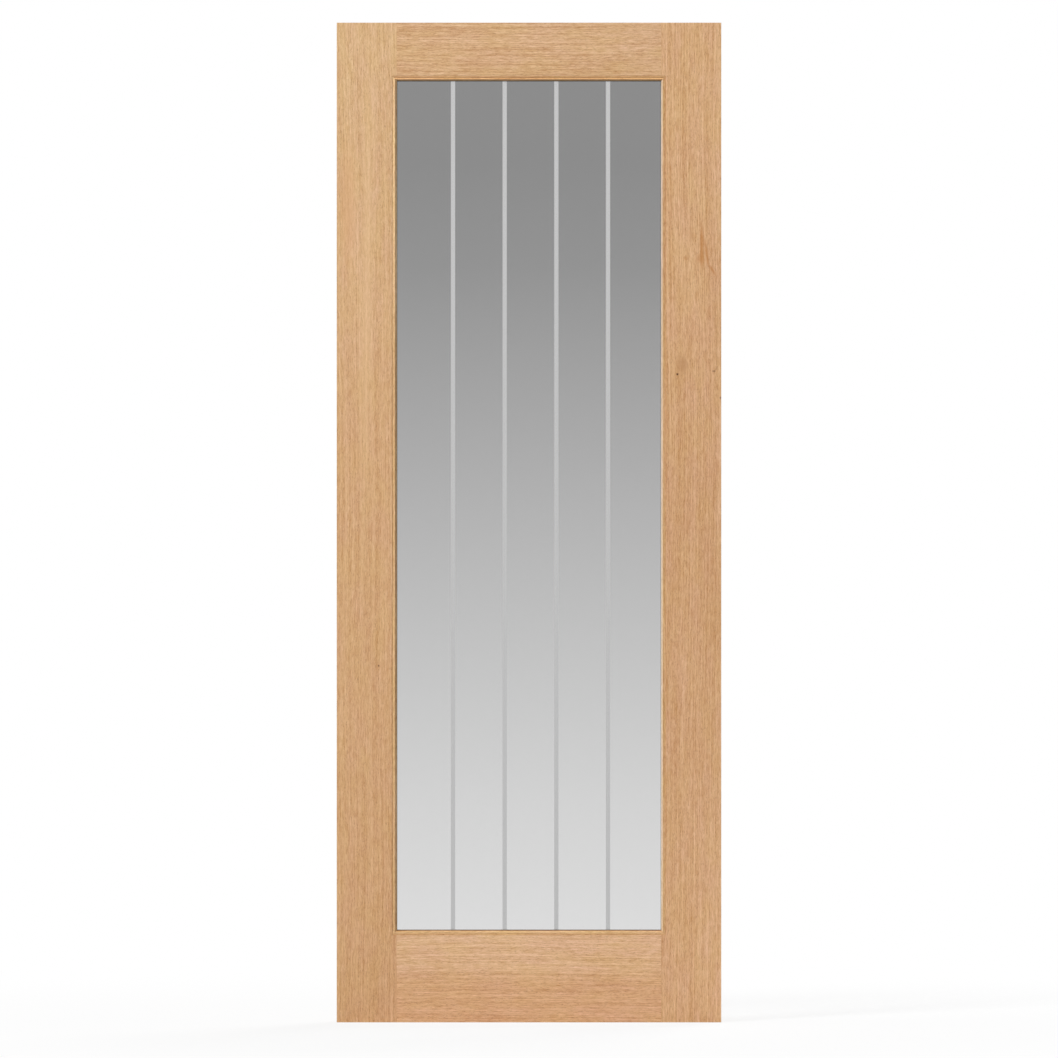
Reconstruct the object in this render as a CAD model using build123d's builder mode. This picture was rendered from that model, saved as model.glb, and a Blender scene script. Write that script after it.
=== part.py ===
"""Glazed fire door leaf: engineered oak stiles and rails round one tall pane with etched lines.

Millimetres, +Z up. X runs across the leaf from the hinge edge, Y through its thickness with the
front at -Y, and the origin lies on the hinge edge, at the middle of the thickness and at the foot.
"""

import os

from build123d import *

# Leaf
leaf_width = 762.0
leaf_height = 1981.0
leaf_thickness = 44.0

# Stiles and rails, each measured from the edge of the leaf to the sight line of the glass
stile_width = 119.0
top_rail_depth = 114.6
bottom_rail_depth = 182.0

# Build-up of a stile or rail: core between two lippings, under two face veneers
veneer_thickness = 0.6
veneer_arris = 0.3
outer_lipping_width = 8.0
inner_lipping_width = 22.0

# Glazing rebate and the moulding worked on the beads and on the back lip
rebate_width = 9.2
quirk_depth = 1.5
nose_offset = 5.6
nose_depth = 0.6
nose_radius = 1.0
bevel_depth = 7.0

# Glass, with the lines etched in its front
glass_thickness = 7.0
etched_line_count = 4
etched_line_width = 8.5
etched_line_spacing = 102.5
etched_line_offset = 3.0
etched_line_depth = 0.3

# Intumescent channel folded round the edges of the glass
channel_leg = 2.0
channel_base = 2.5
channel_sight = 0.6

# Overshoot of a cut past the surface that it opens
cut_margin = 5.0

# Faces of the leaf and of the build-up
front_face = -leaf_thickness / 2
back_face = leaf_thickness / 2
front_core = front_face + veneer_thickness
back_core = back_face - veneer_thickness

# Sight opening and the rebate outside it
sight_bottom = bottom_rail_depth
sight_top = leaf_height - top_rail_depth
sight_width = leaf_width - 2 * stile_width
sight_height = sight_top - sight_bottom
rebate_length = sight_width + 2 * rebate_width
rebate_height = sight_height + 2 * rebate_width
middle_x = leaf_width / 2
middle_z = (sight_bottom + sight_top) / 2

# Planes through the thickness: the bead ends where the channel starts, the lip where it stops
channel_thickness = glass_thickness + 2 * channel_leg
bead_back = -channel_thickness / 2
lip_front = channel_thickness / 2
bead_depth = bead_back - front_face

# The four sides of the opening: middle of the rebate wall, way to the glass, length of the wall
opening_sides = {
    "top": (Vector(middle_x, 0, sight_top + rebate_width), Vector(0, 0, -1), rebate_length),
    "bottom": (Vector(middle_x, 0, sight_bottom - rebate_width), Vector(0, 0, 1), rebate_length),
    "hinge_side": (Vector(stile_width - rebate_width, 0, middle_z), Vector(1, 0, 0), rebate_height),
    "lock_side": (
        Vector(leaf_width - stile_width + rebate_width, 0, middle_z),
        Vector(-1, 0, 0),
        rebate_height,
    ),
}
into_leaf_from_front = Vector(0, 1, 0)
into_leaf_from_back = Vector(0, -1, 0)


def board(low, high, mode=Mode.ADD):
    """A square-edged length of timber between two opposite corners."""
    low, high = Vector(*low), Vector(*high)
    size = high - low
    with Locations((low + high) * 0.5):
        Box(size.X, size.Y, size.Z, mode=mode)


def moulding_line():
    """Moulded face from the quirk to the sight line, as (way towards the glass, depth)."""
    FilletPolyline(
        (0, quirk_depth),
        (nose_offset, nose_depth),
        (rebate_width, nose_depth + bevel_depth),
        radius=nose_radius,
    )


def bead_outline():
    """Section of a loose bead."""
    moulding_line()
    Polyline(
        (rebate_width, nose_depth + bevel_depth),
        (rebate_width, bead_depth),
        (0, bead_depth),
        (0, quirk_depth),
    )


def moulding_waste_outline():
    """Section of what the cutter takes off the back lip."""
    moulding_line()
    Polyline(
        (rebate_width, nose_depth + bevel_depth),
        (rebate_width + cut_margin, nose_depth + bevel_depth),
        (rebate_width + cut_margin, -cut_margin),
        (0, -cut_margin),
        (0, quirk_depth),
    )


def channel_outline():
    """Section of the U-shaped channel, open towards the glass."""
    leg_end = rebate_width + channel_sight
    Polyline(
        (0, 0),
        (leg_end, 0),
        (leg_end, channel_leg),
        (channel_base, channel_leg),
        (channel_base, channel_thickness - channel_leg),
        (leg_end, channel_thickness - channel_leg),
        (leg_end, channel_thickness),
        (0, channel_thickness),
        close=True,
    )


def mitred_strip(side, start_y, depth_way, outline):
    """A strip of one section along a side of the opening, mitred at both corners."""
    wall_middle, glass_way, length = opening_sides[side]
    along = glass_way.cross(depth_way)
    origin = Vector(wall_middle.X, start_y, wall_middle.Z)
    with BuildPart() as strip:
        with BuildSketch(Plane(origin=origin, x_dir=glass_way, z_dir=along)):
            with BuildLine():
                outline()
            make_face()
        extrude(amount=length / 2, both=True)
        for end in (along, along * -1):
            split(
                bisect_by=Plane(origin=origin + end * (length / 2), z_dir=glass_way + end),
                keep=Keep.BOTTOM,
            )
    return strip.part


def face_veneer(low, high, face_y, outward):
    """A face veneer between two corners in X and Z, cut back to the rebate, its arrises eased."""
    low, high = Vector(*low), Vector(*high)
    size = high - low
    middle = (low + high) * 0.5
    with BuildPart() as veneer:
        with BuildSketch(Plane.XZ.offset(-face_y)):
            with Locations((middle.X, middle.Y)):
                Rectangle(size.X, size.Y)
            with Locations((middle_x, middle_z)):
                Rectangle(rebate_length, rebate_height, mode=Mode.SUBTRACT)
        extrude(amount=outward * veneer_thickness)
        shown_face = veneer.faces().sort_by(Axis.Y)[0 if outward > 0 else -1]
        chamfer(shown_face.edges(), length=veneer_arris)
    return veneer.part


def inner_lipping(low, high):
    """Solid oak at the edge of the opening: rebated from the front, its back lip moulded."""
    with BuildPart() as lipping:
        board(low, high)
        board(
            (middle_x - rebate_length / 2, front_face - cut_margin, middle_z - rebate_height / 2),
            (middle_x + rebate_length / 2, lip_front, middle_z + rebate_height / 2),
            mode=Mode.SUBTRACT,
        )
        for side in opening_sides:
            add(back_moulding_waste[side], mode=Mode.SUBTRACT)
    return lipping.part


def plain_board(low, high):
    """A core or outer lipping."""
    with BuildPart() as piece:
        board(low, high)
    return piece.part


def keep(name, part):
    """Labels a finished piece and writes its file."""
    part.label = name
    export_step(part, f"parts/{name}.step")


os.makedirs("parts", exist_ok=True)

back_moulding_waste = {
    side: mitred_strip(side, back_face, into_leaf_from_back, moulding_waste_outline)
    for side in opening_sides
}

# Stiles: full height, built up from the leaf's edge inwards
for stile, edge_x, inward in (("hinge_stile", 0.0, 1), ("lock_stile", leaf_width, -1)):
    across = [
        edge_x + inward * distance
        for distance in (
            0,
            outer_lipping_width,
            stile_width - inner_lipping_width,
            stile_width,
        )
    ]
    layers = [sorted(pair) for pair in zip(across, across[1:])]
    corners = [
        ((x0, front_core, 0), (x1, back_core, leaf_height)) for x0, x1 in layers
    ]
    keep(f"{stile}_outer_lipping", plain_board(*corners[0]))
    keep(f"{stile}_core", plain_board(*corners[1]))
    keep(f"{stile}_inner_lipping", inner_lipping(*corners[2]))
    left, right = sorted((across[0], across[-1]))
    for face, core_y, outward in (("front", front_core, 1), ("back", back_core, -1)):
        veneer = face_veneer((left, 0), (right, leaf_height), core_y, outward)
        keep(f"{stile}_{face}_veneer", veneer)

# Rails: butted between the stiles, built up from the leaf's edge inwards
for rail, edge_z, inward, rail_depth in (
    ("top_rail", leaf_height, -1, top_rail_depth),
    ("bottom_rail", 0.0, 1, bottom_rail_depth),
):
    up = [
        edge_z + inward * distance
        for distance in (
            0,
            outer_lipping_width,
            rail_depth - inner_lipping_width,
            rail_depth,
        )
    ]
    layers = [sorted(pair) for pair in zip(up, up[1:])]
    corners = [
        ((stile_width, front_core, z0), (leaf_width - stile_width, back_core, z1))
        for z0, z1 in layers
    ]
    keep(f"{rail}_outer_lipping", plain_board(*corners[0]))
    keep(f"{rail}_core", plain_board(*corners[1]))
    keep(f"{rail}_inner_lipping", inner_lipping(*corners[2]))
    low, high = sorted((up[0], up[-1]))
    for face, core_y, outward in (("front", front_core, 1), ("back", back_core, -1)):
        veneer = face_veneer(
            (stile_width, low), (leaf_width - stile_width, high), core_y, outward
        )
        keep(f"{rail}_{face}_veneer", veneer)

# Loose beads that hold the glass in from the front, and the channel round its edges
for side in opening_sides:
    bead = mitred_strip(side, front_face, into_leaf_from_front, bead_outline)
    keep(f"glazing_bead_{side}", bead)
    channel = mitred_strip(side, bead_back, into_leaf_from_front, channel_outline)
    keep(f"glazing_channel_{side}", channel)

# Glass: one pane seated in the channel, with shallow etched lines down its front
glass_front = -glass_thickness / 2
with BuildPart() as glass:
    with Locations((middle_x, 0, middle_z)):
        Box(
            rebate_length - 2 * channel_base,
            glass_thickness,
            rebate_height - 2 * channel_base,
        )
    with Locations((middle_x + etched_line_offset, glass_front, middle_z)):
        with GridLocations(etched_line_spacing, 0, etched_line_count, 1):
            Box(
                etched_line_width,
                2 * etched_line_depth,
                sight_height - 2 * channel_sight,
                mode=Mode.SUBTRACT,
            )
keep("glass_pane", glass.part)
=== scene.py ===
# %% [markdown]
# # Finishing a glazed fire door
# The leaf is a flat frame of two stiles and two rails round one tall pane. Its solids come from the
# CAD model, each at its real size and place, and this lesson gives them their finishes: oak with its
# grain along each piece, bare timber ends, a dark glazing channel and clear glass with etched lines
# and a painted grey reflection.

import math

import bpy
from mathutils import Color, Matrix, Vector


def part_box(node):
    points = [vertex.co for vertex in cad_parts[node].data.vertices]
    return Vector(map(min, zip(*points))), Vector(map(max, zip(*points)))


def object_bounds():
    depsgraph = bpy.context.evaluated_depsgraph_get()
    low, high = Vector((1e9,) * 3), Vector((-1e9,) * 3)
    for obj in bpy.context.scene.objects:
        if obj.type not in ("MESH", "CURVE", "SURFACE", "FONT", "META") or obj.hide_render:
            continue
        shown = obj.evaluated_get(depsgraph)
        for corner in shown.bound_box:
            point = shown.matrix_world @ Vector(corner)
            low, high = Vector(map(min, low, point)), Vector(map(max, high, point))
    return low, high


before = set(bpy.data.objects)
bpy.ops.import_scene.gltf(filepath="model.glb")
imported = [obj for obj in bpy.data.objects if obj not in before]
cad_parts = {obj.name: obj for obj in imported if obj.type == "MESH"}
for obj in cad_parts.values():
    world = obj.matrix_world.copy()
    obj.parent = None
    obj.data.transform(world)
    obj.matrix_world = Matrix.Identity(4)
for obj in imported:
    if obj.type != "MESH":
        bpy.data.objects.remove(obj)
cad_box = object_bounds()
bpy.ops.object.select_all(action="DESELECT")
scene = bpy.context.scene
scene.view_settings.view_transform = "Standard"
print("pieces loaded:", len(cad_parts))

# %% [markdown]
# ## Camera
# A door is photographed square on, with its edges parallel. An orthographic camera would show them
# so, but it would also flatten the beads, so a long lens on a distant camera is used. The photograph
# shows the leaf 999.7 pixels high in a frame of 1058, and 6.5 pixels above the middle, so the camera
# stands that much lower than the middle of the leaf.

# %% Place the camera
frame_pixels = 1058
leaf_pixels = 999.7
leaf_above_middle_pixels = 6.5
lens_mm = 300.0
sensor_mm = 36.0

leaf_low, leaf_high = cad_box
leaf_middle = (leaf_low + leaf_high) / 2
metres_per_pixel = (leaf_high.z - leaf_low.z) / leaf_pixels
shown_height = frame_pixels * metres_per_pixel
camera_distance = shown_height * lens_mm / sensor_mm

bpy.ops.object.camera_add(
    location=(
        leaf_middle.x,
        leaf_low.y - camera_distance,
        leaf_middle.z - leaf_above_middle_pixels * metres_per_pixel,
    ),
    rotation=(math.radians(90), 0, 0),
)
camera = bpy.context.object
camera.data.lens = lens_mm
camera.data.sensor_width = sensor_mm
scene.camera = camera
print("camera stands", round(camera_distance, 2), "m in front of the leaf")

# %% [markdown]
# ## Colours and nodes
# A finish is a small graph of nodes. It could be drawn by hand in the shader editor, but a script
# builds it again in the same way each time. The first helpers turn a screen colour into the linear
# one that shaders use, and place one node with its inputs set or joined.


# %% Colour and node helpers
def srgb(red, green, blue):
    """A colour as a screen shows it, from 0 to 255, as the linear colour that shaders use."""
    linear = Color((red / 255, green / 255, blue / 255)).from_srgb_to_scene_linear()
    return (*linear, 1.0)


def feed(tree, socket, value):
    """Joins a socket to another, or sets it to a plain value."""
    if isinstance(value, bpy.types.NodeSocket):
        tree.links.new(value, socket)
    else:
        socket.default_value = value


def place(tree, kind, inputs=(), **settings):
    """Adds a node, with its settings and its inputs by name or number."""
    node = tree.nodes.new(kind)
    for name, value in settings.items():
        setattr(node, name, value)
    for name, value in dict(inputs).items():
        feed(tree, node.inputs[name], value)
    return node


half_bright = 128
linear_grey = srgb(half_bright, half_bright, half_bright)[0]
print("a half-bright grey on a screen is", round(linear_grey, 3), "in linear light")

# %% [markdown]
# ## Arithmetic, noise and ramps
# Grain, rings and etched lines are all worked out from the place on the leaf: it is measured, noise
# is laid over it, the result is carried to another range, and two colours are mixed by it. Each
# helper adds one such step and gives back its socket, so that a finish reads as a list of steps.

# %% Arithmetic and noise helpers
# noise runs from 0 to 1, but seldom leaves this range
noise_low = 0.3
noise_high = 0.7


def calculate(tree, operation, first, second=0.0, third=0.0, clamp=False):
    """One step of arithmetic on values."""
    inputs = {0: first, 1: second, 2: third}
    node = place(tree, "ShaderNodeMath", inputs, operation=operation, use_clamp=clamp)
    return node.outputs[0]


def vector_step(tree, operation, first, second):
    """One step of arithmetic on vectors."""
    node = place(tree, "ShaderNodeVectorMath", {0: first, 1: second}, operation=operation)
    return node.outputs[0]


def length_of(tree, vector):
    """How long a vector is."""
    node = place(tree, "ShaderNodeVectorMath", {0: vector}, operation="LENGTH")
    return node.outputs["Value"]


def parts_of(tree, vector):
    """A vector's X, Y and Z."""
    return place(tree, "ShaderNodeSeparateXYZ", {0: vector}).outputs


def noise(tree, vector, cells, detail=2.0, roughness=0.5):
    """Soft noise from 0 to 1, with so many cells to the metre along X, Y and Z."""
    stretched = vector_step(tree, "MULTIPLY", vector, cells)
    inputs = {"Vector": stretched, "Scale": 1.0, "Detail": detail, "Roughness": roughness}
    return place(tree, "ShaderNodeTexNoise", inputs).outputs["Fac"]


def noise_around_zero(tree, vector, cells, detail=2.0, roughness=0.5):
    """The same noise, moved so that its middle is 0."""
    middle = 0.5
    return calculate(tree, "SUBTRACT", noise(tree, vector, cells, detail, roughness), middle)


print("helpers for arithmetic and noise are ready")


# %% Ramp and mix helpers
def ramp(tree, value, low, high, start=0.0, end=1.0, smooth=False):
    """A value carried from one range to another and held at the ends."""
    inputs = {"Value": value, "From Min": low, "From Max": high, "To Min": start, "To Max": end}
    kind = "SMOOTHSTEP" if smooth else "LINEAR"
    return place(tree, "ShaderNodeMapRange", inputs, interpolation_type=kind).outputs["Result"]


def colour_ramp(tree, value, stops, interpolation):
    """Two or more colours along a value, each a place from 0 to 1 and a colour."""
    node = place(tree, "ShaderNodeValToRGB", {0: value})
    elements = node.color_ramp.elements
    while len(elements) < len(stops):
        elements.new(0.5)
    for element, (where, colour) in zip(elements, stops):
        element.position = where
        element.color = (*colour, 1.0)
    node.color_ramp.interpolation = interpolation
    return node.outputs["Color"]


def mix_colour(tree, amount, first, second, blend="MIX"):
    """Two colours mixed by a mask."""
    node = place(tree, "ShaderNodeMix", {"Factor": amount}, data_type="RGBA", blend_type=blend)
    # inputs 6 and 7 and output 2 are the Mix node's sockets for colours
    feed(tree, node.inputs[6], first)
    feed(tree, node.inputs[7], second)
    return node.outputs[2]


print("helpers for ramps and mixes are ready")

# %% [markdown]
# ## Groups and finishes
# Oak covers most of the leaf, and no two pieces of it are quite alike. Its nodes could be repeated
# in each material, but a node group is built once and placed in each with other values. A finish is
# a material that reads the place on the leaf in metres, so a pattern keeps its size everywhere.


# %% Group and finish helpers
def new_group(name, inputs, outputs):
    """An empty node group with its sockets; each is a name, a kind and, for an input, a value."""
    group = bpy.data.node_groups.new(name, "ShaderNodeTree")
    for socket_name, kind, value in inputs:
        socket = group.interface.new_socket(
            socket_name, in_out="INPUT", socket_type=f"NodeSocket{kind}"
        )
        socket.default_value = value
    for socket_name, kind in outputs:
        group.interface.new_socket(socket_name, in_out="OUTPUT", socket_type=f"NodeSocket{kind}")
    given = group.nodes.new("NodeGroupInput").outputs
    result = group.nodes.new("NodeGroupOutput").inputs
    return group, given, result


def use_group(tree, group, inputs):
    """A node group placed in a material with its own values."""
    node = place(tree, "ShaderNodeGroup", node_tree=group)
    for name, value in inputs.items():
        feed(tree, node.inputs[name], value)
    return node.outputs


def new_finish(name):
    """A new material: its tree, its main shader and the place on the leaf in metres."""
    finish = bpy.data.materials.new(name)
    finish.use_nodes = True
    tree = finish.node_tree
    shader = tree.nodes["Principled BSDF"]
    spot = tree.nodes.new("ShaderNodeTexCoord").outputs["Object"]
    return finish, tree, shader, spot


def roughen(tree, shader, height, strength, depth):
    """A fine relief on the surface, its depth in metres."""
    relief = {"Strength": strength, "Distance": depth, "Height": height}
    feed(tree, shader.inputs["Normal"], place(tree, "ShaderNodeBump", relief).outputs[0])


def wear(finish, *names):
    """Puts a finish on CAD pieces."""
    for name in names:
        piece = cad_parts[name]
        for slot in piece.material_slots:
            slot.material = finish
        if not piece.material_slots:
            piece.data.materials.append(finish)


print("helpers for groups and finishes are ready")

# %% [markdown]
# ## White world
# The leaf stands alone on white. A sheet hung behind it would turn grey in its shadow, so the world
# itself is the backdrop. It is plain white to the camera, and to rays that the glass or the lacquer
# sends on, but it lights the leaf only a little, and the lamps keep their shadows.


# %% World
def seen_directly(tree):
    """1 for rays from the camera and for those that a mirror or glass sends on, else 0."""
    path = tree.nodes.new("ShaderNodeLightPath").outputs
    mirrored = calculate(tree, "MAXIMUM", path["Is Glossy Ray"], path["Is Transmission Ray"])
    return calculate(tree, "MAXIMUM", path["Is Camera Ray"], mirrored)


white = (1, 1, 1, 1)
ambient_light = 0.22

world = bpy.data.worlds.new("white_studio")
scene.world = world
world.use_nodes = True
studio = world.node_tree
studio.nodes.clear()
lighting = place(studio, "ShaderNodeBackground", {"Color": white, "Strength": ambient_light})
showing = place(studio, "ShaderNodeBackground", {"Color": white, "Strength": 1.0})
backdrop = place(
    studio,
    "ShaderNodeMixShader",
    {0: seen_directly(studio), 1: lighting.outputs[0], 2: showing.outputs[0]},
)
place(studio, "ShaderNodeOutputWorld", {"Surface": backdrop.outputs[0]})
print("world lights the leaf at", ambient_light, "of full white")

# %% [markdown]
# ## White floor
# The leaf stands on a white floor that runs out of sight. Plain white paint would show grey, because
# it is never lit quite as brightly as the world, so the floor glows. Near the leaf some of it stays
# matt, enough to hold the shadow. Further out it is all glow, so that no line shows where floor and
# world meet.

# %% Floor
floor_size = 60.0
floor_paint = (0.92, 0.92, 0.92, 1)
glow_at_leaf = 0.83
# metres from the middle of the foot, between which the floor turns from part matt to all glow
matt_from = 0.5
matt_to = 2.2

bpy.ops.mesh.primitive_plane_add(size=floor_size, location=(leaf_middle.x, 0, leaf_low.z))
floor = bpy.context.object
floor.name = "studio_floor"
floor_finish = bpy.data.materials.new("white_floor")
floor_finish.use_nodes = True
ground = floor_finish.node_tree
ground.nodes.clear()
matt = place(ground, "ShaderNodeBsdfDiffuse", {"Color": floor_paint})
glow = place(ground, "ShaderNodeEmission", {"Color": white, "Strength": 1.0})
from_leaf = length_of(ground, ground.nodes.new("ShaderNodeTexCoord").outputs["Object"])
glow_here = ramp(ground, from_leaf, matt_from, matt_to, glow_at_leaf, 1.0, smooth=True)
glow_share = calculate(ground, "MULTIPLY", seen_directly(ground), glow_here)
sheet = place(
    ground, "ShaderNodeMixShader", {0: glow_share, 1: matt.outputs[0], 2: glow.outputs[0]}
)
place(ground, "ShaderNodeOutputMaterial", {"Surface": sheet.outputs[0]})
floor.data.materials.append(floor_finish)
print("floor", floor_size, "m across")

# %% [markdown]
# ## Lamps
# The bead's slopes are dark at the top and left of the glass and bright at the bottom and right, so
# the main light comes from the upper left in front. A sun would draw hard shadows, and area lamps
# soften them as a studio's do. A weak one on the right opens the shadows, and one behind lights the
# back, so that the leaf reads well from every side. Only the main lamp makes highlights: the others
# would show as bright squares in the pane and as glare along the top edge.

# %% Lamps
lamp_plan = {
    "key_lamp": {"place": (-6.3, -7.3, 7.7), "power": 1020.0, "size": 2.6, "shines": True},
    "fill_lamp": {"place": (4.2, -6.0, 1.4), "power": 35.0, "size": 3.0, "shines": False},
    "back_lamp": {"place": (3.2, 5.0, 3.6), "power": 290.0, "size": 3.0, "shines": False},
}
for name, plan in lamp_plan.items():
    aim = leaf_middle - Vector(plan["place"])
    bpy.ops.object.light_add(
        type="AREA", location=plan["place"], rotation=aim.to_track_quat("-Z", "Y").to_euler()
    )
    lamp = bpy.context.object
    lamp.name = name
    lamp.data.energy = plan["power"]
    lamp.data.size = plan["size"]
    lamp.visible_camera = False
    lamp.visible_transmission = False
    lamp.visible_glossy = plan["shines"]
    print(name, plan["power"], "W")

# %% [markdown]
# ## Oak grain
# Oak that is cut so that its rings stand on edge shows long, nearly straight lines. Broad bands and
# clouds of tone lie under them, short dashes and fine dark pores lie over them, and the hue drifts a
# little between golden and rosy. A picture of oak would repeat, and blur from close by, so each of
# these is noise stretched along the grain by its own amount. One node group holds them all, and each
# piece of oak uses it with its own tones and its own spot in the tree. The group reads a vector
# whose Z runs along the grain.

# %% Sizes of the grain
# cells of noise to the metre: across the grain, through the sheet and along the grain
band_cells = (30.0, 22.0, 0.8)
cloud_cells = (16.0, 9.0, 4.0)
hue_cells = (45.0, 30.0, 12.0)
line_cells = (620.0, 120.0, 2.4)
dash_cells = (800.0, 200.0, 65.0)
pore_cells = (1100.0, 800.0, 220.0)
# the grain leans over slowly and each line wavers: cells to the metre, and the reach in metres
wander_cells = (2.0, 2.0, 1.3)
wander_reach = 0.03
waver_cells = (40.0, 30.0, 15.0)
waver_reach = 0.0016
# colours that the wood is multiplied by, and the noise between which it passes from one to the other
golden = (1.0, 1.0, 0.93, 1)
rosy = (1.0, 0.975, 1.0, 1)
golden_below = 0.32
rosy_above = 0.68
# noise at which a pore starts to open and is fully open
pore_opens = 0.57
pore_open = 0.68
# noise of a dark and of a pale line, and how strong a pore is in a pale line, where a dark has 1
dark_line = -0.12
pale_line = 0.12
stray_pore = 0.35
# what open pores and pale lines add to the roughness, and how far pale lines stand up
pore_roughness = 0.22
line_roughness = -0.10
line_height = 0.2
print("lines about", round(1000 / line_cells[0], 1), "mm apart")


# %% Oak grain group
def make_oak_grain():
    """The group that gives oak its colour, roughness and height."""
    tree, given, result = new_group(
        "oak_grain",
        [
            ("Grain Vector", "Vector", (0, 0, 0)),
            ("Pale Wood", "Color", srgb(230, 190, 148)),
            ("Dark Wood", "Color", srgb(184, 137, 92)),
            ("Pore Colour", "Color", srgb(140, 92, 52)),
            ("Band Strength", "Float", 0.25),
            ("Line Strength", "Float", 1.25),
            ("Dash Strength", "Float", 1.9),
            ("Pore Strength", "Float", 0.5),
            ("Plain Roughness", "Float", 0.48),
        ],
        [("Colour", "Color"), ("Roughness", "Float"), ("Height", "Float")],
    )
    along = given["Grain Vector"]
    wander = noise_around_zero(tree, along, wander_cells, detail=1.0)
    waver = noise_around_zero(tree, along, waver_cells, detail=1.0)
    sideways = calculate(tree, "MULTIPLY", wander, wander_reach)
    sideways = calculate(tree, "MULTIPLY_ADD", waver, waver_reach, sideways)
    sway = place(tree, "ShaderNodeCombineXYZ", {"X": sideways}).outputs[0]
    grain = vector_step(tree, "ADD", along, sway)

    middle_tone = 0.5
    bands = noise_around_zero(tree, grain, band_cells)
    clouds = noise_around_zero(tree, grain, cloud_cells, detail=3.0)
    lines = noise_around_zero(tree, grain, line_cells, roughness=0.6)
    dashes = noise_around_zero(tree, grain, dash_cells, roughness=0.7)
    broad = calculate(tree, "ADD", bands, clouds)
    tone = calculate(tree, "MULTIPLY_ADD", broad, given["Band Strength"], middle_tone)
    fine = calculate(tree, "MULTIPLY", lines, given["Line Strength"])
    fine = calculate(tree, "MULTIPLY_ADD", dashes, given["Dash Strength"], fine)
    tone = calculate(tree, "ADD", tone, fine, clamp=True)
    wood = mix_colour(tree, tone, given["Dark Wood"], given["Pale Wood"])
    hue = ramp(tree, noise(tree, grain, hue_cells, detail=1.0), golden_below, rosy_above)
    blush = mix_colour(tree, hue, golden, rosy)
    wood = mix_colour(tree, 1.0, wood, blush, blend="MULTIPLY")

    pores = noise(tree, grain, pore_cells, detail=1.0)
    pore_rows = ramp(tree, lines, pale_line, dark_line, stray_pore, 1.0)
    pore_mask = ramp(tree, pores, pore_opens, pore_open, smooth=True)
    pore_mask = calculate(tree, "MULTIPLY", pore_mask, pore_rows)
    pore_amount = calculate(tree, "MULTIPLY", pore_mask, given["Pore Strength"])
    feed(tree, result["Colour"], mix_colour(tree, pore_amount, wood, given["Pore Colour"]))
    rough = calculate(tree, "MULTIPLY_ADD", pore_mask, pore_roughness, given["Plain Roughness"])
    feed(tree, result["Roughness"], calculate(tree, "MULTIPLY_ADD", fine, line_roughness, rough))
    raised = calculate(tree, "MULTIPLY", fine, line_height)
    feed(tree, result["Height"], calculate(tree, "SUBTRACT", raised, pore_mask))
    return tree


oak_grain = make_oak_grain()
print("oak_grain nodes:", len(oak_grain.nodes))

# %% [markdown]
# ## Marks in the wood
# No two sheets of veneer are alike. The lock stile has a small swirl of orange streaks high up and a
# few pin knots, and the hinge stile has a pale heart. Each could be painted on a picture, but a group
# makes it easy to move and holds up from close by: one long spot, whose mask is full at its centre
# and fades out across and along the grain with a ragged edge. It only shows on the front.

# %% Mark group
ragged_cells = (420.0, 60.0, 90.0)
# share of a mark's half size within which it is full
full_within = 0.2


def make_wood_mark():
    """The group that lays one mark over a colour."""
    tree, given, result = new_group(
        "wood_mark",
        [
            ("Place", "Vector", (0, 0, 0)),
            ("Colour", "Color", (0.5, 0.5, 0.5, 1)),
            ("Mark Colour", "Color", (0.3, 0.2, 0.1, 1)),
            ("Centre", "Vector", (0, 0, 0)),
            ("Half Size", "Vector", (0.01, 1.0, 0.03)),
            ("Slant", "Float", 0.0),
            ("Amount", "Float", 0.5),
            ("Raggedness", "Float", 0.6),
        ],
        [("Colour", "Color")],
    )
    away = parts_of(tree, vector_step(tree, "SUBTRACT", given["Place"], given["Centre"]))
    leaning = calculate(tree, "MULTIPLY", away["Z"], given["Slant"])
    straight_x = calculate(tree, "SUBTRACT", away["X"], leaning)
    upright = place(tree, "ShaderNodeCombineXYZ", {"X": straight_x, "Z": away["Z"]}).outputs[0]
    reach = length_of(tree, vector_step(tree, "DIVIDE", upright, given["Half Size"]))
    ragged = noise_around_zero(tree, given["Place"], ragged_cells)
    ragged = calculate(tree, "MULTIPLY", ragged, given["Raggedness"])
    edge = calculate(tree, "ADD", reach, ragged)
    mask = ramp(tree, edge, 1.0, full_within, smooth=True)
    on_front = calculate(tree, "LESS_THAN", parts_of(tree, given["Place"])["Y"], 0.0)
    mask = calculate(tree, "MULTIPLY", mask, on_front)
    mask = calculate(tree, "MULTIPLY", mask, given["Amount"])
    feed(tree, result["Colour"], mix_colour(tree, mask, given["Colour"], given["Mark Colour"]))
    return tree


wood_mark = make_wood_mark()
print("wood_mark nodes:", len(wood_mark.nodes))

# %% [markdown]
# ## A piece of oak
# Every piece of oak is finished in the same steps: grain, then a slow change of tone along one axis,
# which on the beads is painted light and shade, and marks, where it has them, and a satin surface in
# which the pores can be felt. Each piece could have steps of its own, but one function takes them
# all, because the pieces differ only in their values. Level pieces turn their coordinates by a right
# angle before the grain group reads them.

# %% Oak finish
oak_shine = 0.3
pore_relief = 0.25
pore_depth = 0.0003


def grain_vector(tree, spot, lies_across, place_in_tree, roll):
    """The place on the leaf with Z along the grain, moved to a spot of its own in the tree."""
    turn = math.radians(90) if lies_across else 0.0
    inputs = {"Vector": spot, "Rotation": (0, turn, roll), "Location": place_in_tree}
    return place(tree, "ShaderNodeMapping", inputs).outputs[0]


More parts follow.
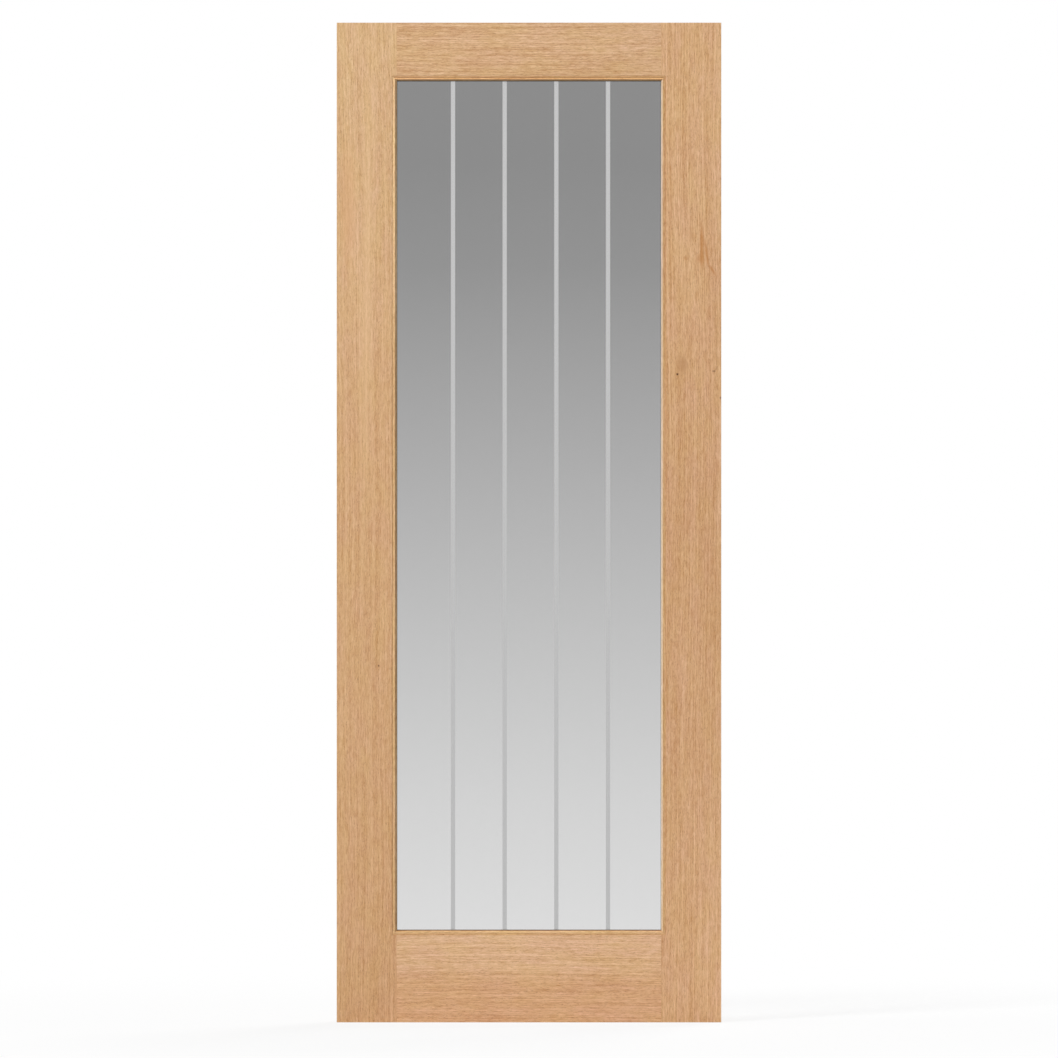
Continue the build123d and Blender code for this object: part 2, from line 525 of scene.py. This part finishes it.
def oak_finish(
    name, lies_across, place_in_tree, tones, marks=(), tint=None, roll=0.0, strengths=()
):
    """Oak with grain, a tint (tone, or painted light and shade), marks; strengths are the grain
    group's inputs.
    """
    finish, tree, shader, spot = new_finish(name)
    shader.inputs["Specular IOR Level"].default_value = oak_shine
    grain = {"Grain Vector": grain_vector(tree, spot, lies_across, place_in_tree, roll)}
    for socket_name, colour in zip(("Pale Wood", "Dark Wood", "Pore Colour"), tones):
        grain[socket_name] = srgb(*colour)
    grain.update(strengths)
    wood = use_group(tree, oak_grain, grain)
    colour = wood["Colour"]
    # a tint is a sheet's own tone, or on a bead painted light and shade
    if tint:
        distance = ramp(tree, parts_of(tree, spot)[tint["axis"]], tint["low"], tint["high"])
        slow = colour_ramp(tree, distance, tint["stops"], "EASE")
        colour = mix_colour(tree, 1.0, colour, slow, blend="MULTIPLY")
    for one_mark in marks:
        colour = use_group(tree, wood_mark, {"Place": spot, "Colour": colour, **one_mark})["Colour"]
    feed(tree, shader.inputs["Base Color"], colour)
    feed(tree, shader.inputs["Roughness"], wood["Roughness"])
    roughen(tree, shader, wood["Height"], pore_relief, pore_depth)
    return finish


print("pores", round(pore_depth * 1000, 1), "mm deep at full relief")

# %% [markdown]
# ## Marks on each sheet
# These are the marks that the front shows: a pale heart and a ruddy patch on the hinge stile, the
# orange swirl and a dull patch on the lock stile, knots on both and two streaks on the bottom rail.
# They could be scattered by chance, but the eye finds them at once, so each is set one by one, by
# the place of its centre and its half size in metres.


# %% Marks
def mark(x, z, half_width, half_length, colour, amount, slant=0.0, raggedness=0.6):
    """One mark on the front, by its centre and half size in metres."""
    any_depth = 1.0
    return {
        "Centre": (x, 0, z),
        "Half Size": (half_width, any_depth, half_length),
        "Mark Colour": srgb(*colour),
        "Amount": amount,
        "Slant": slant,
        "Raggedness": raggedness,
    }


orange_streak = (182, 119, 58)
dull_patch = (184, 138, 96)
ruddy_wood = (212, 163, 120)
knot_brown = (78, 36, 8)
pale_heart = (228, 192, 146)

hinge_marks = [
    mark(0.059, 1.45, 0.016, 0.75, pale_heart, 0.35, slant=0.01),
    mark(0.023, 1.62, 0.022, 0.20, ruddy_wood, 0.45),
    mark(0.0828, 0.7067, 0.0024, 0.0028, knot_brown, 0.85),
    mark(0.0420, 0.6800, 0.0014, 0.0030, knot_brown, 0.4),
]
lock_marks = [
    mark(0.7232, 1.542, 0.0054, 0.062, orange_streak, 0.66),
    mark(0.7216, 1.514, 0.0120, 0.020, orange_streak, 0.40),
    mark(0.7325, 1.526, 0.0042, 0.040, orange_streak, 0.60, slant=-0.12),
    mark(0.7440, 1.491, 0.0045, 0.018, orange_streak, 0.55, slant=-0.6),
    mark(0.6910, 1.5145, 0.0075, 0.0060, orange_streak, 0.35),
    mark(0.6612, 1.550, 0.0035, 0.400, orange_streak, 0.22),
    mark(0.6850, 1.3040, 0.0160, 0.026, dull_patch, 0.65),
    mark(0.6749, 1.2845, 0.0033, 0.0036, knot_brown, 1.0, raggedness=0.4),
    mark(0.7476, 1.2905, 0.0052, 0.0023, knot_brown, 0.55),
    mark(0.7604, 1.2376, 0.0026, 0.0034, knot_brown, 0.75),
    mark(0.7010, 1.665, 0.0024, 0.055, pale_heart, 0.6),
]
bottom_marks = [
    mark(0.4697, 0.1651, 0.10, 0.0022, orange_streak, 0.35, raggedness=0.8),
    mark(0.4390, 0.0729, 0.0075, 0.0014, orange_streak, 0.7),
]
print("marks:", len(hinge_marks) + len(lock_marks) + len(bottom_marks))

# %% [markdown]
# ## Tints of the sheets
# A slow change of tone runs over three of the front sheets: the hinge stile is paler at its head, the
# lock stile is darkest about the middle and the bottom rail is paler towards the glass. Larger noise
# could vary the tone as well, but not where it is wanted, so a few tints stand along a ramp, and the
# wood's colour is multiplied by them.

# %% Sheet tints
bottom_rail_tinted_to = 0.18

hinge_tint = {
    "axis": "Z",
    "low": leaf_low.z,
    "high": leaf_high.z,
    "stops": (
        (0.0, (0.99, 0.955, 0.94)),
        (0.5, (0.98, 0.965, 0.965)),
        (1.0, (1.03, 1.095, 1.155)),
    ),
}
lock_tint = {
    "axis": "Z",
    "low": leaf_low.z,
    "high": leaf_high.z,
    "stops": (
        (0.0, (1.05, 1.035, 1.085)),
        (0.45, (0.98, 0.94, 0.965)),
        (1.0, (1.03, 1.035, 1.08)),
    ),
}
bottom_tint = {
    "axis": "Z",
    "low": leaf_low.z,
    "high": bottom_rail_tinted_to,
    "stops": (
        (0.0, (1.075, 1.01, 1.01)),
        (0.40, (1.075, 1.015, 1.01)),
        (0.65, (1.14, 1.155, 1.225)),
    ),
}
print("sheet tints run up to", round(leaf_high.z, 3), "m")

# %% [markdown]
# ## Veneered faces
# Each face of a stile or rail is one sheet of veneer. On the stiles the grain stands up, on the rails
# it lies across. One material for all would carry the same lines over the joints, so each sheet comes
# from a spot of its own in the tree, with its own strength of line and dash where it differs.

# %% Veneer finishes
stile_tones = ((227, 190, 149), (188, 139, 88), (142, 92, 48))
rail_tones = ((227, 192, 154), (187, 140, 92), (142, 92, 48))

sheets = {
    "hinge_stile_front": {
        "lies_across": False,
        "place_in_tree": (3.1, 0.4, 0.0),
        "tones": stile_tones,
        "marks": hinge_marks,
        "tint": hinge_tint,
        "strengths": {"Band Strength": 0.15, "Line Strength": 1.0, "Dash Strength": 1.75},
    },
    "lock_stile_front": {
        "lies_across": False,
        "place_in_tree": (7.6, 1.9, 2.0),
        "tones": stile_tones,
        "marks": lock_marks,
        "tint": lock_tint,
    },
    "top_rail_front": {
        "lies_across": True,
        "place_in_tree": (1.7, 5.2, 4.0),
        "tones": rail_tones,
        "strengths": {"Line Strength": 1.35, "Dash Strength": 2.2},
    },
    "bottom_rail_front": {
        "lies_across": True,
        "place_in_tree": (9.3, 2.8, 1.0),
        "tones": rail_tones,
        "marks": bottom_marks,
        "tint": bottom_tint,
        "strengths": {"Line Strength": 1.1, "Dash Strength": 1.75},
    },
    "hinge_stile_back": {
        "lies_across": False,
        "place_in_tree": (5.2, 3.3, 6.0),
        "tones": stile_tones,
    },
    "lock_stile_back": {
        "lies_across": False,
        "place_in_tree": (2.4, 6.1, 8.0),
        "tones": stile_tones,
    },
    "top_rail_back": {
        "lies_across": True,
        "place_in_tree": (6.6, 0.9, 3.0),
        "tones": rail_tones,
    },
    "bottom_rail_back": {
        "lies_across": True,
        "place_in_tree": (4.8, 7.7, 5.0),
        "tones": rail_tones,
    },
}
for sheet_name, plan in sheets.items():
    wear(oak_finish(f"oak_{sheet_name}", **plan), f"{sheet_name}_veneer")
print("veneered faces:", len(sheets))

# %% [markdown]
# ## Painted light and shade on the beads
# A bead is only 9 mm wide, and the light picks out each part of it. Beside the lock stile a cream
# highlight is painted on its bevel. Along the bottom painted light and a painted highlight lie on it,
# with painted shade at its foot. Along the top a ruddy painted shade lies on its slope, a painted
# highlight on its nose and painted shade along its lower edge, and on the hinge side a painted
# highlight comes in high up. The lamps alone would leave these lines faint, so these painted lights
# and shades stand along the depth or the height.

# %% Painted light and shade on the beads
# depths below the front of the leaf: end of the rounded nose, well down the bevel, and its foot
nose_end = 0.0016
down_the_bevel = 0.0030
bevel_foot = 0.0076
# heights between which a painted highlight comes in on the hinge-side bead
painted_highlight_from = 1.30
painted_highlight_to = 1.50

front_face = leaf_low.y
top_bead_low, top_bead_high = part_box("glazing_bead_top")
plain = (1.0, 1.0, 1.0)
# painted cream highlight on the lock-side bevel
painted_cream_highlight = (1.25, 1.60, 2.40)
# painted light on the bottom bead's nose
lit = (1.10, 1.12, 1.11)
# painted highlight on the bottom bead's bevel
painted_warm_highlight = (1.34, 1.37, 1.33)
# painted shade at the foot of the bottom bead
painted_shade_at_foot = (0.62, 0.52, 0.42)
# painted shade along the top bead's lower edge
shaded = (0.42, 0.42, 0.44)
# painted highlight on the top bead's nose
painted_nose_highlight = (1.62, 1.55, 1.45)
# ruddy painted shade on the top bead's slope
painted_ruddy_shade = (0.60, 0.52, 0.41)
# painted highlight high on the hinge-side bead, faint below and full above
faint_painted_highlight = (1.04, 1.08, 1.08)
full_painted_highlight = (1.22, 1.36, 1.45)

# each bead's painted light and shade, multiplied into the wood along its depth or its height
bead_painted_light = {
    "glazing_bead_top": {
        "axis": "Z",
        "low": top_bead_low[2],
        "high": top_bead_high[2],
        "stops": ((0.0, shaded), (0.22, plain), (0.40, painted_nose_highlight), (0.62, painted_ruddy_shade), (0.84, plain)),
    },
    "glazing_bead_lock_side": {
        "axis": "Y",
        "low": front_face + nose_end,
        "high": front_face + down_the_bevel,
        "stops": ((0.0, plain), (1.0, painted_cream_highlight)),
    },
    "glazing_bead_bottom": {
        "axis": "Y",
        "low": front_face + nose_end,
        "high": front_face + bevel_foot,
        "stops": ((0.0, lit), (0.2, painted_warm_highlight), (0.55, painted_warm_highlight), (0.75, painted_shade_at_foot)),
    },
    "glazing_bead_hinge_side": {
        "axis": "Z",
        "low": painted_highlight_from,
        "high": painted_highlight_to,
        "stops": ((0.0, faint_painted_highlight), (1.0, full_painted_highlight)),
    },
}
print("tinted beads:", len(bead_painted_light))

# %% [markdown]
# ## Solid oak
# Lippings and beads are solid oak, a shade warmer than the sheets. Upright pieces carry upright grain
# and level ones carry it across, so a mitre shows two grains meeting. A solid piece shows two faces
# square to each other, and veneer's flat grain would be fine on one and coarse on the other, so it is
# rolled by half a right angle and looks the same on both. Lippings are only sanded, so they are
# rougher than the lacquered beads.

# %% Solid oak finishes
solid_tones = ((226, 187, 141), (182, 135, 88), (138, 90, 50))
ring_slant = math.radians(45)
lacquered = 0.48
sanded = 0.62
# spot in the tree of the first piece, and the step from one piece to the next
first_spot = (11.0, 2.0, 0.0)
spot_step = (1.3, 0.7, 0.9)

upright_oak = [
    "hinge_stile_outer_lipping",
    "hinge_stile_inner_lipping",
    "lock_stile_outer_lipping",
    "lock_stile_inner_lipping",
    "glazing_bead_hinge_side",
    "glazing_bead_lock_side",
]
level_oak = [
    "top_rail_outer_lipping",
    "top_rail_inner_lipping",
    "bottom_rail_outer_lipping",
    "bottom_rail_inner_lipping",
    "glazing_bead_top",
    "glazing_bead_bottom",
]
for lies_across, names in ((False, upright_oak), (True, level_oak)):
    for number, name in enumerate(names):
        place_in_tree = [start + step * number for start, step in zip(first_spot, spot_step)]
        finish = oak_finish(
            f"oak_{name}",
            lies_across,
            place_in_tree,
            solid_tones,
            tint=bead_painted_light.get(name),
            roll=ring_slant,
            strengths={"Plain Roughness": sanded if name.endswith("lipping") else lacquered},
        )
        wear(finish, name)
print("solid oak pieces:", len(upright_oak) + len(level_oak))

# %% [markdown]
# ## Core timber
# The middle of a stile is glued up from staves of a paler softwood. It shows only where the stile is
# cut off, at its head and foot, as end grain: arcs of rings, different in each stave, with a thin
# glue line between two staves. Separate staves could be modelled, but nothing of them stands out, so
# the finish counts the staves across, gives each a heart of its own and draws rings about it.

# %% Sizes in the core
stave_width = 0.030
# where the heart of a stave's tree lies: across in staves, and through the leaf in metres
heart_across_start = -0.3
heart_across_spread = 1.6
heart_depth_start = -0.11
heart_depth_spread = 0.08
rings_to_the_metre = 210.0
uneven_cells = (160.0, 160.0, 4.0)
unevenness = 0.7
# shares of a ring between which the dark late wood comes in
late_wood_from = 0.45
late_wood_to = 0.98
late_wood_strength = 0.8
fibre_cells = (1400.0, 1400.0, 20.0)
fibre_strength = 0.35
stave_tint_strength = 0.35
# shares of a stave, measured from the glue line
half_stave = 0.5
glue_gone = 0.022
glue_full = 0.008
early_wood_colour = srgb(219, 186, 142)
late_wood_colour = srgb(168, 119, 76)
brown_stave_colour = srgb(190, 146, 102)
glue_colour = srgb(120, 84, 52)
smooth_fibre = 0.64
rough_fibre = 0.82
print("rings about", round(1000 / rings_to_the_metre, 1), "mm apart")


# %% Core finish
def make_core_finish():
    """Staves side by side, each with the rings of its own tree, and glue between them."""
    finish, tree, shader, spot = new_finish("stave_core")
    part = parts_of(tree, spot)
    stave = calculate(tree, "DIVIDE", part["X"], stave_width)
    number = calculate(tree, "FLOOR", stave)
    within = calculate(tree, "SUBTRACT", stave, number)
    chance = place(tree, "ShaderNodeTexWhiteNoise", {"W": number}, noise_dimensions="1D")
    heart = place(tree, "ShaderNodeSeparateColor", {0: chance.outputs["Color"]}).outputs
    heart_x = calculate(
        tree, "MULTIPLY_ADD", heart["Red"], heart_across_spread, heart_across_start
    )
    heart_y = calculate(
        tree, "MULTIPLY_ADD", heart["Green"], heart_depth_spread, heart_depth_start
    )
    across = calculate(tree, "SUBTRACT", within, heart_x)
    across = calculate(tree, "MULTIPLY", across, stave_width)
    deep = calculate(tree, "SUBTRACT", part["Y"], heart_y)
    from_heart = place(tree, "ShaderNodeCombineXYZ", {"X": across, "Y": deep}).outputs[0]
    uneven = noise(tree, spot, uneven_cells)
    uneven = calculate(tree, "MULTIPLY", uneven, unevenness)
    radius = length_of(tree, from_heart)
    turns = calculate(tree, "MULTIPLY_ADD", radius, rings_to_the_metre, uneven)
    ring = calculate(tree, "FRACT", turns)
    late_wood = ramp(tree, ring, late_wood_from, late_wood_to, smooth=True)
    late_wood = calculate(tree, "MULTIPLY", late_wood, late_wood_strength)
    fibre = noise(tree, spot, fibre_cells, detail=1.0)
    tone = calculate(tree, "MULTIPLY_ADD", fibre, fibre_strength, late_wood)
    wood = mix_colour(tree, tone, early_wood_colour, late_wood_colour)
    stave_tint = calculate(tree, "MULTIPLY", heart["Blue"], stave_tint_strength)
    wood = mix_colour(tree, stave_tint, wood, brown_stave_colour)
    to_glue = calculate(tree, "PINGPONG", stave, half_stave)
    glue = ramp(tree, to_glue, glue_gone, glue_full)
    feed(tree, shader.inputs["Base Color"], mix_colour(tree, glue, wood, glue_colour))
    rough = ramp(tree, fibre, noise_low, noise_high, smooth_fibre, rough_fibre)
    feed(tree, shader.inputs["Roughness"], rough)
    roughen(tree, shader, fibre, strength=0.3, depth=0.0003)
    return finish


wear(
    make_core_finish(),
    "hinge_stile_core",
    "lock_stile_core",
    "top_rail_core",
    "bottom_rail_core",
)
print("core finish on the stiles and rails")

# %% [markdown]
# ## Glazing channel
# A soft dark strip that swells in a fire wraps the edge of the glass. Only a thin line of it shows
# beside the beads. A plain dark colour would do from afar, but close by the strip is matt and
# slightly grainy, so fine noise varies its shade, its roughness and its surface.

# %% Channel finish
grit_cells = (900.0, 900.0, 900.0)
dark_grit_colour = srgb(60, 46, 34)
pale_grit_colour = srgb(90, 72, 54)
smooth_grit = 0.72
rough_grit = 0.9


def make_channel_finish():
    """A matt, grainy strip."""
    finish, tree, shader, spot = new_finish("intumescent_strip")
    grit = noise(tree, spot, grit_cells, detail=3.0)
    shade = mix_colour(tree, grit, dark_grit_colour, pale_grit_colour)
    feed(tree, shader.inputs["Base Color"], shade)
    rough = ramp(tree, grit, noise_low, noise_high, smooth_grit, rough_grit)
    feed(tree, shader.inputs["Roughness"], rough)
    roughen(tree, shader, grit, strength=0.3, depth=0.0002)
    return finish


wear(
    make_channel_finish(),
    "glazing_channel_top",
    "glazing_channel_bottom",
    "glazing_channel_hinge_side",
    "glazing_channel_lock_side",
)
print("channel finish on four sides")

# %% [markdown]
# ## Glass
# The pane is smooth clear glass with four lines etched down its front. A grey that deepens from the
# foot to the head is a painted reflection in its colour. Where it is etched it is rough and nearly
# the same grey all the way, so a line is paler than the glass at the top and darker at the bottom. A
# see-through sheet with no refraction would be simpler, but it would lose the pane's edges and mirror
# nothing, so this is real glass. Lamps still shine through it: for shadow rays it is a clear sheet of
# the same grey.

# %% Sizes on the pane
line_count = 4
line_spacing = 0.1025
line_half_width = 0.00425
lines_off_middle = 0.003
first_line = leaf_middle.x + lines_off_middle - line_spacing * (line_count - 1) / 2
# half the width over which a line's edge fades, and the depth behind the pane's front that is rough
line_edge = 0.0003
etched_reach = 0.0006
pane_low, pane_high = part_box("glass_pane")
etched_to = pane_low[1] + etched_reach
# greys of the painted reflection on the clear glass by the share of its height, and of the etched
# lines at foot and head
painted_reflection_greys = ((0.0, 0.702), (0.15, 0.632), (0.56, 0.385), (0.78, 0.262), (0.90, 0.232))
frost_at_foot = 0.48
frost_at_head = 0.553
frost_cells = (2500.0, 2500.0, 2500.0)
# roughness of the polished glass, and what fine and coarse frost add to it
polished = 0.015
fine_frost = 0.25
coarse_frost = 0.35
glass_ior = 1.5
print("first etched line at", round(first_line, 4), "m")


# %% Glass finish
def etched_lines(tree, part):
    """1 on the etched lines, fading to 0 at their edges."""
    steps = calculate(tree, "SUBTRACT", part["X"], first_line)
    steps = calculate(tree, "DIVIDE", steps, line_spacing)
    nearest = calculate(tree, "ROUND", steps)
    nearest = calculate(tree, "MAXIMUM", nearest, 0.0)
    nearest = calculate(tree, "MINIMUM", nearest, line_count - 1.0)
    off_line = calculate(tree, "ABSOLUTE", calculate(tree, "SUBTRACT", steps, nearest))
    off_line = calculate(tree, "MULTIPLY", off_line, line_spacing)
    outside = line_half_width + line_edge
    inside = line_half_width - line_edge
    return ramp(tree, off_line, outside, inside, smooth=True)


def make_glass_finish():
    """Clear glass with a painted grey reflection and frosted lines in its front."""
    finish, tree, shader, spot = new_finish("etched_glass")
    part = parts_of(tree, spot)
    etched = etched_lines(tree, part)
    on_front = calculate(tree, "LESS_THAN", part["Y"], etched_to)
    frosted_lines = calculate(tree, "MULTIPLY", etched, on_front)

    height = ramp(tree, part["Z"], pane_low[2], pane_high[2])
    stops = [(where, (grey, grey, grey)) for where, grey in painted_reflection_greys]
    # painted reflection: a grey that deepens from the foot to the head
    painted_reflection_grey = colour_ramp(tree, height, stops, "LINEAR")
    frost = ramp(tree, height, 0.0, 1.0, frost_at_foot, frost_at_head)
    frost_grey = place(tree, "ShaderNodeCombineColor", {0: frost, 1: frost, 2: frost}).outputs[0]
    # tint is the painted reflection grey, and the etched lines' grey on the lines
    tint = mix_colour(tree, etched, painted_reflection_grey, frost_grey)
    crystals = noise(tree, spot, frost_cells, detail=1.0)
    frosted = ramp(tree, crystals, noise_low, noise_high, fine_frost, coarse_frost)
    rough = calculate(tree, "MULTIPLY_ADD", frosted_lines, frosted, polished)
    feed(tree, shader.inputs["Base Color"], tint)
    feed(tree, shader.inputs["Roughness"], rough)
    shader.inputs["Transmission Weight"].default_value = 1.0
    shader.inputs["IOR"].default_value = glass_ior

    path = tree.nodes.new("ShaderNodeLightPath").outputs
    clear = place(tree, "ShaderNodeBsdfTransparent", {"Color": tint})
    pane = place(
        tree,
        "ShaderNodeMixShader",
        {0: path["Is Shadow Ray"], 1: shader.outputs[0], 2: clear.outputs[0]},
    )
    feed(tree, tree.nodes["Material Output"].inputs["Surface"], pane.outputs[0])
    return finish


wear(make_glass_finish(), "glass_pane")
print("glass finish on the pane")
